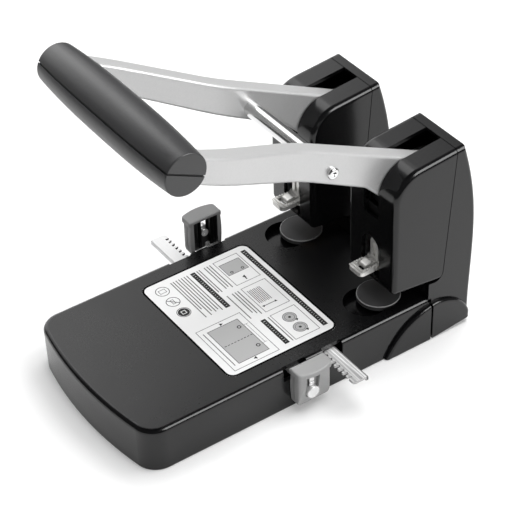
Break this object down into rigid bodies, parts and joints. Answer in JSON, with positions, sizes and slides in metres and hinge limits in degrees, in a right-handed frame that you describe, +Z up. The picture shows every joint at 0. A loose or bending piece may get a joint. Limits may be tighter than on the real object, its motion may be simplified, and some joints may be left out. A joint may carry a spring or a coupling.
{
  "type": "paper drill",
  "caption": "Heavy-duty two-hole paper drill with twin lever arms, bar grip, punch heads, cutting discs, release levers and geared side guides.",
  "frame": {"origin": "centre of the footprint on the table, under the rubber feet", "axes": "+X across the machine to the side whose paper guide is lowered, +Y to the rear, away from the grip, +Z up"},
  "size_m": [0.183, 0.2419, 0.2154],
  "materials": {
    "abs_black": "fine spark-eroded texture, satin",
    "label": "satin film",
    "tray_black": "smooth moulded",
    "rubber": "matt",
    "chassis_steel": "zinc plated",
    "screw_steel": "zinc plated",
    "frame_steel": "black oxide",
    "bronze": "sintered",
    "bright_steel": "polished",
    "spring_steel": "drawn wire",
    "zinc": "die cast, tumbled",
    "cast_aluminium": "die cast, silver lacquer",
    "grip_plastic": "satin",
    "disc_nylon": "satin",
    "guide_grey": "satin"
  },
  "bodies": {
    "base": {"base_cover": "abs_black", "rear_cover": "abs_black", "head_cover_left": "abs_black", "head_cover_right": "abs_black", "label_plate": "label", "chip_tray": "tray_black", "rubber_feet": "rubber", "chassis_plate": "chassis_steel", "cover_screws": "screw_steel", "punch_frame_left": "frame_steel", "punch_frame_right": "frame_steel", "frame_screws": "screw_steel", "pin_bush_left": "bronze", "pin_bush_right": "bronze", "pivot_pin_left": "bright_steel", "pivot_pin_right": "bright_steel", "pivot_clips": "spring_steel", "release_pins": "bright_steel", "return_spring_left": "spring_steel", "return_spring_right": "spring_steel", "rack_guide_plate": "tray_black", "pinion_stud": "bright_steel"},
    "lever": {"arm_left": "cast_aluminium", "arm_right": "cast_aluminium", "arm_screws": "screw_steel", "crossbar": "bright_steel", "crossbar_screws": "bright_steel", "grip_upper": "grip_plastic", "grip_lower": "grip_plastic", "grip_screws": "screw_steel", "grip_tube": "chassis_steel"},
    "ram_left": {"ram_left": "frame_steel", "punch_pin_left": "bright_steel"},
    "ram_right": {"ram_right": "frame_steel", "punch_pin_right": "bright_steel"},
    "release_left": {"release_lever_left": "zinc"},
    "release_right": {"release_lever_right": "zinc"},
    "disc_left": {"cutting_disc_left": "disc_nylon"},
    "disc_right": {"cutting_disc_right": "disc_nylon"},
    "rack_front": {"guide_rack_front": "bright_steel"},
    "rack_rear": {"guide_rack_rear": "bright_steel"},
    "pinion": {"guide_pinion": "tray_black"},
    "guide_right": {"guide_block_right": "guide_grey", "guide_plate_right": "chassis_steel", "guide_knob_right": "bright_steel"},
    "guide_left": {"guide_block_left": "guide_grey", "guide_plate_left": "chassis_steel", "guide_knob_left": "bright_steel"}
  },
  "joints": [
    {"name": "lever_hinge", "type": "hinge", "parent": "base", "child": "lever", "pos_m": [0, 0.10158, 0.1087], "axis": [1, 0, 0], "range_deg": [0, 23.77], "stiffness_Nm_per_rad": 6, "springref_deg": -25.78},
    {"name": "ram_left_slide", "type": "slide", "parent": "base", "child": "ram_left", "axis": [0, 0, -1], "range_m": [0, 0.0138], "deforming": ["return_spring_left"]},
    {"name": "ram_right_slide", "type": "slide", "parent": "base", "child": "ram_right", "axis": [0, 0, -1], "range_m": [0, 0.0138], "deforming": ["return_spring_right"]},
    {"name": "release_left_hinge", "type": "hinge", "parent": "base", "child": "release_left", "pos_m": [-0.04, 0.064, 0.0585], "axis": [-1, 0, 0], "range_deg": [0, 12], "stiffness_Nm_per_rad": 0.02, "springref_deg": -17.19},
    {"name": "release_right_hinge", "type": "hinge", "parent": "base", "child": "release_right", "pos_m": [0.04, 0.064, 0.0585], "axis": [-1, 0, 0], "range_deg": [0, 12], "stiffness_Nm_per_rad": 0.02, "springref_deg": -17.19},
    {"name": "disc_left_turn", "type": "hinge", "parent": "base", "child": "disc_left", "pos_m": [-0.04, 0.06595, 0.03], "axis": [0, 0, 1], "continuous": true},
    {"name": "disc_right_turn", "type": "hinge", "parent": "base", "child": "disc_right", "pos_m": [0.04, 0.06595, 0.03], "axis": [0, 0, 1], "continuous": true},
    {"name": "guide_width_slide", "type": "slide", "parent": "base", "child": "rack_front", "axis": [1, 0, 0], "range_m": [0, 0.0805]},
    {"name": "rack_rear_slide", "type": "slide", "parent": "base", "child": "rack_rear", "axis": [-1, 0, 0], "range_m": [0, 0.0805]},
    {"name": "pinion_turn", "type": "hinge", "parent": "base", "child": "pinion", "pos_m": [0, 0.00185, 0.0262], "axis": [0, 0, 1], "range_deg": [0, 618]},
    {"name": "guide_right_lift", "type": "slide", "parent": "rack_front", "child": "guide_right", "axis": [0, 0, 1], "range_m": [0, 0.021]},
    {"name": "guide_left_lift", "type": "slide", "parent": "rack_rear", "child": "guide_left", "axis": [0, 0, 1], "range_m": [-0.021, 0]}
  ],
  "couplings": [
    {"joint": "ram_left_slide", "follows": "lever_hinge", "m_per_rad": 0.03326},
    {"joint": "ram_right_slide", "follows": "lever_hinge", "m_per_rad": 0.03326},
    {"joint": "rack_rear_slide", "follows": "guide_width_slide", "ratio": 1},
    {"joint": "pinion_turn", "follows": "guide_width_slide", "rad_per_m": 133.33}
  ]
}
